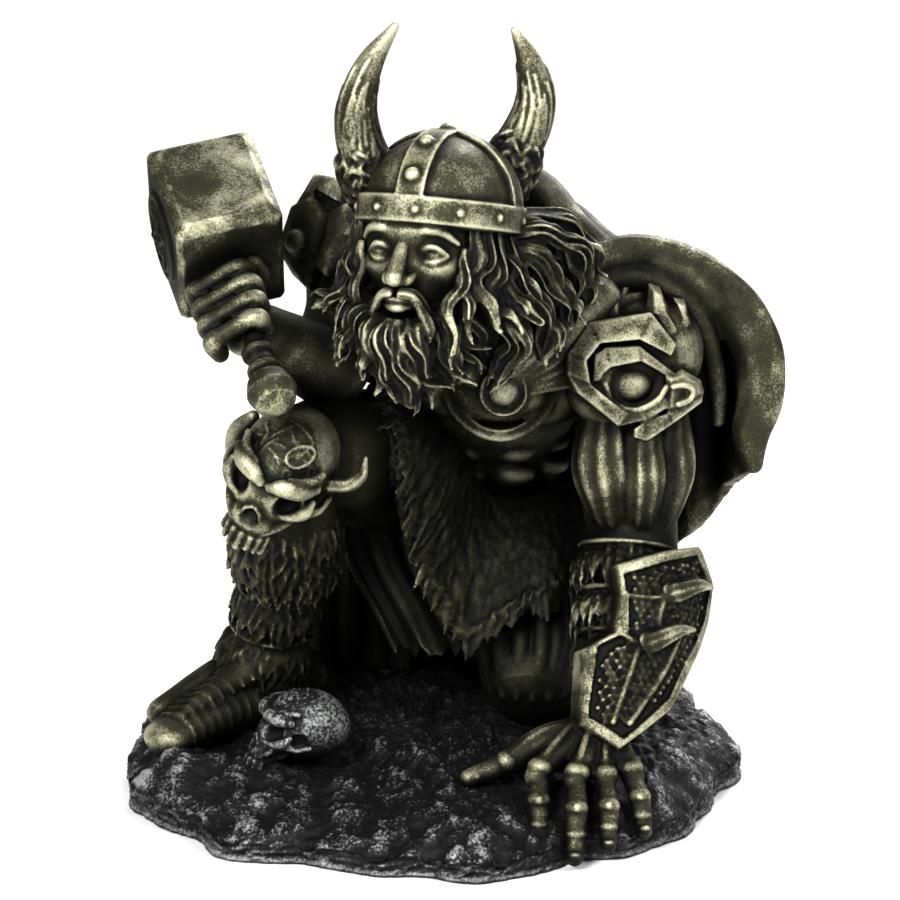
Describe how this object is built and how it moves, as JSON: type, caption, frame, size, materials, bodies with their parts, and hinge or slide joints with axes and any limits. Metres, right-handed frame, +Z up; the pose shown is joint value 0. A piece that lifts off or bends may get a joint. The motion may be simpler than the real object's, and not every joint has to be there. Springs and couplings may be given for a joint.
{
  "type": "crouching norse warrior figurine",
  "caption": "Crouching bearded warrior in a horned helmet and cape, left hand on the rock base, right hand holding a war hammer on a knee with a skull guard.",
  "frame": {"origin": "on the rock's flat underside, below the middle of the rock", "axes": "+Z up, -Y the way the figure faces the viewer, +X the viewer's right (the figure's left side)"},
  "size_m": [0.1591, 0.1501, 0.1891],
  "materials": {
    "aged_bronze": "antique bronze, dark in the recesses and rubbed pale on the ridges",
    "black_rock": "charcoal black resin rock, brushed with silver grey on the ridges"
  },
  "bodies": {
    "root": {"figure": "aged_bronze", "rock_base": "black_rock"}
  },
  "joints": []
}
